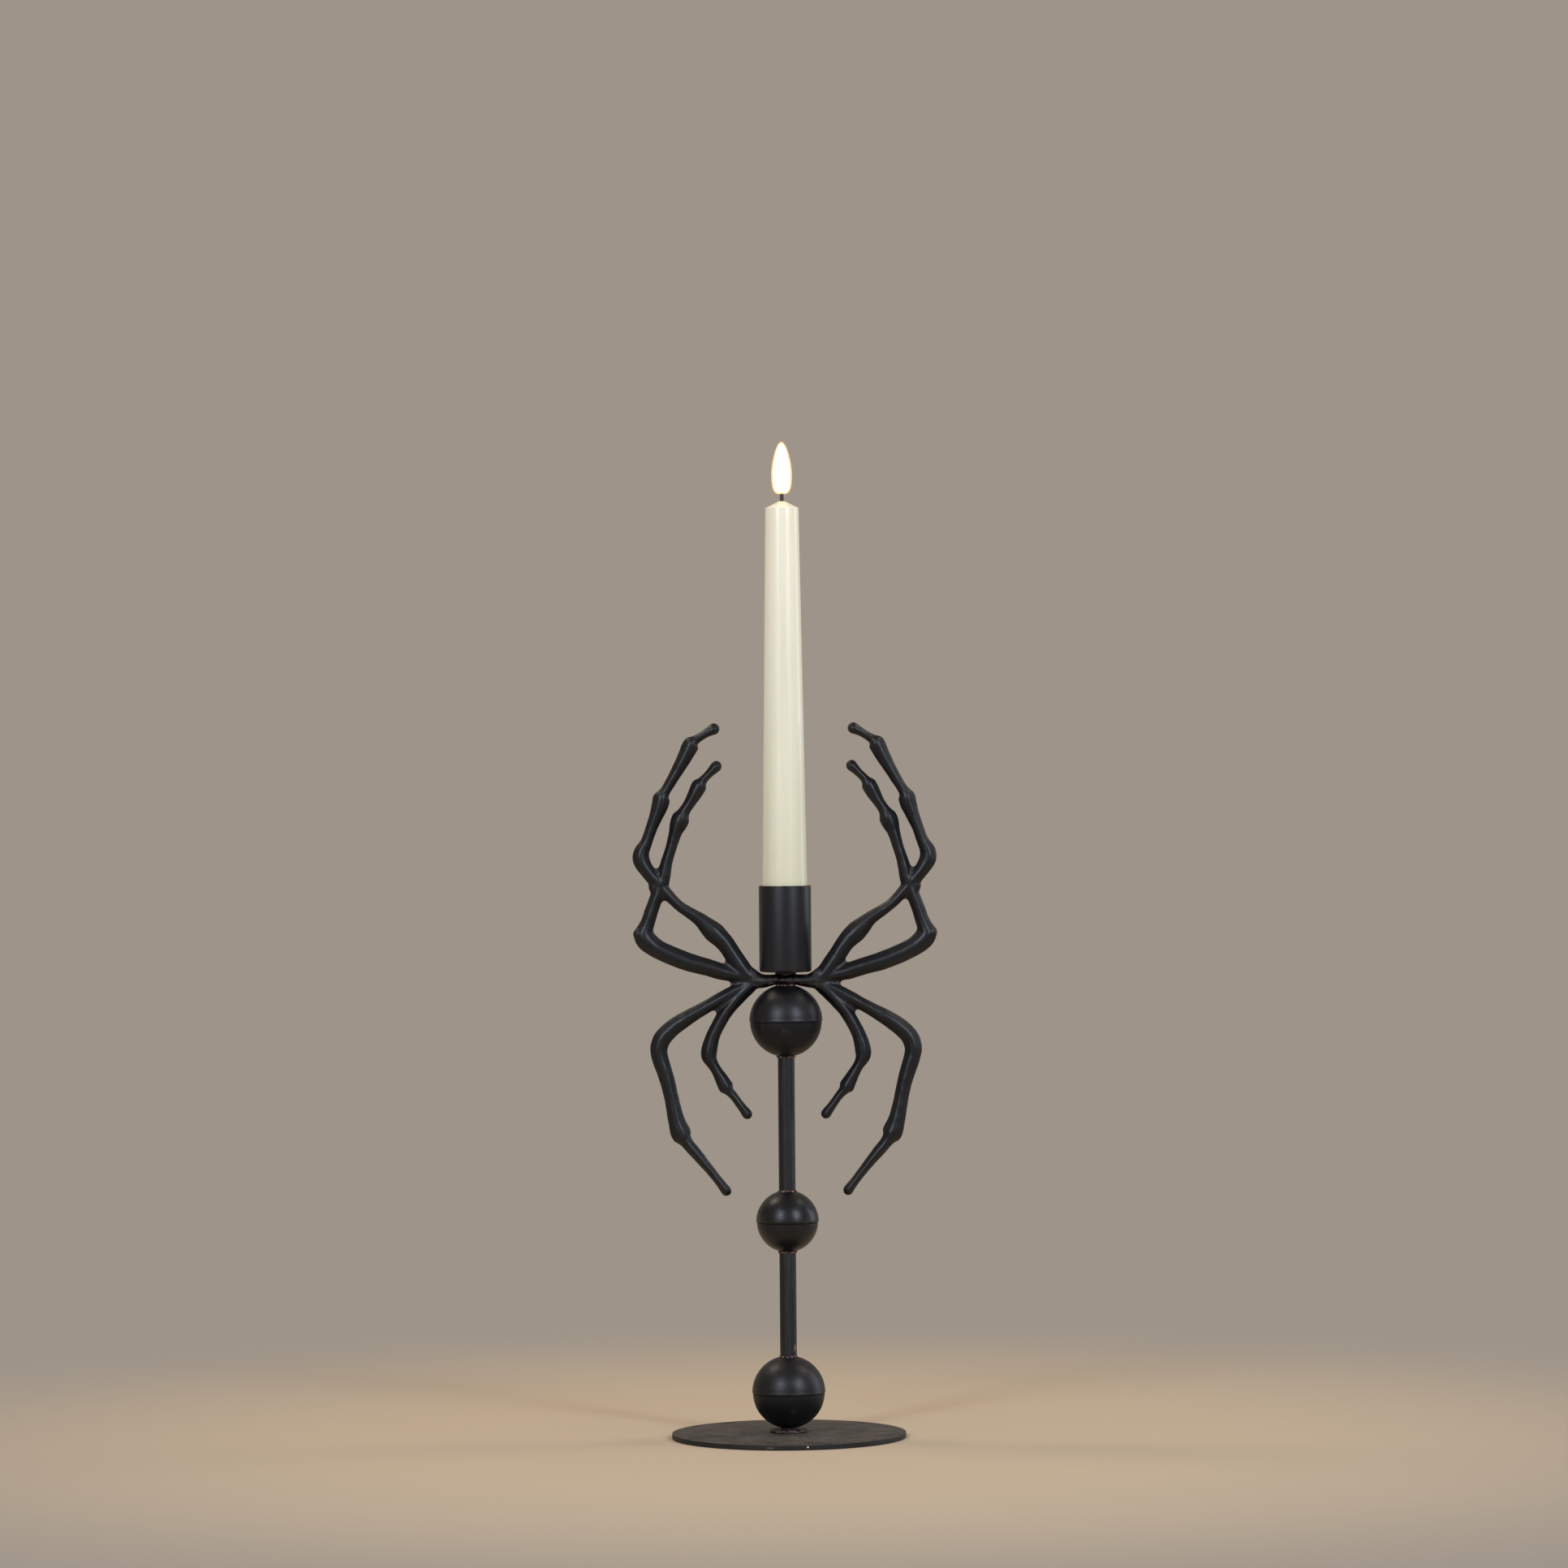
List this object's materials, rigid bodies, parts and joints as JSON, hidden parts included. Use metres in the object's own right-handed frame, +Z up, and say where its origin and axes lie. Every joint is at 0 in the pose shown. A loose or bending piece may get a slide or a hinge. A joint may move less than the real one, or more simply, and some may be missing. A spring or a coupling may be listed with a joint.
{
  "type": "taper candle holder",
  "caption": "Spider-shaped black iron stand on a round base, with a cup that holds a removable lamp taper with a moulded flame.",
  "frame": {"origin": "middle of the base plate's underside", "axes": "+Z up along the stem, X across the spread legs, Y from front (-Y) to back"},
  "size_m": [0.1448, 0.112, 0.4765],
  "materials": {
    "black_casting": "satin black over cast iron, brown rust showing on the parting edges",
    "black_coat": "fine black powder coat on steel",
    "black_balls": "semi-gloss black on pressed steel with brown mottling",
    "base_black": "matt dark grey-brown, dusty",
    "rusty_weld": "rough weld with brown rust",
    "screw_steel": "dark steel",
    "ivory_wax": "smooth ivory wax with a soft sheen",
    "ivory_plastic": "moulded ivory plastic",
    "black_plastic": "moulded black plastic",
    "flame_plastic": "translucent plastic, lit from inside",
    "lamp_plastic": "clear warm lamp",
    "copper_wire": "enamelled copper wire",
    "contact_brass": "bright brass strip",
    "board_green": "green circuit board",
    "battery_wrap": "plain dark sleeve on a steel cell",
    "spring_steel": "bright spring wire"
  },
  "bodies": {
    "holder": {"base_plate": "base_black", "base_screw": "screw_steel", "base_washer": "black_coat", "stem_rod": "black_coat", "lower_ball_base_half": "black_balls", "lower_ball_top_half": "black_balls", "middle_ball_base_half": "black_balls", "middle_ball_top_half": "black_balls", "upper_ball_base_half": "black_balls", "upper_ball_top_half": "black_balls", "weld_rings": "rusty_weld", "spider_hub": "black_casting", "left_upper_legs": "black_casting", "right_upper_legs": "black_casting", "left_lower_legs": "black_casting", "right_lower_legs": "black_casting", "cup_spacer": "black_coat", "candle_cup": "black_coat", "cup_screw": "screw_steel"},
    "candle": {"candle_wax": "ivory_wax", "candle_tube": "ivory_plastic", "wick_stem": "black_plastic", "flame_diffuser": "flame_plastic", "flame_led": "lamp_plastic", "led_leads": "copper_wire", "timer_board": "board_green", "timer_chip": "black_plastic", "board_contact": "contact_brass", "upper_battery": "battery_wrap", "lower_battery": "battery_wrap", "return_strip": "contact_brass"},
    "candle_cap": {"candle_cap": "ivory_plastic", "cap_spring": "spring_steel", "switch_body": "black_plastic"},
    "switch": {"switch_knob": "black_plastic"}
  },
  "joints": [
    {"name": "candle_lift", "type": "slide", "parent": "holder", "child": "candle", "axis": [0, 0, 1], "range_m": [0, 0.12]},
    {"name": "cap_turn", "type": "hinge", "parent": "candle", "child": "candle_cap", "pos_m": [0, 0, 0.224], "axis": [0, 0, 1], "range_deg": [0, 45]},
    {"name": "switch_slide", "type": "slide", "parent": "candle_cap", "child": "switch", "axis": [1, 0, 0], "range_m": [0, 0.0025]}
  ]
}
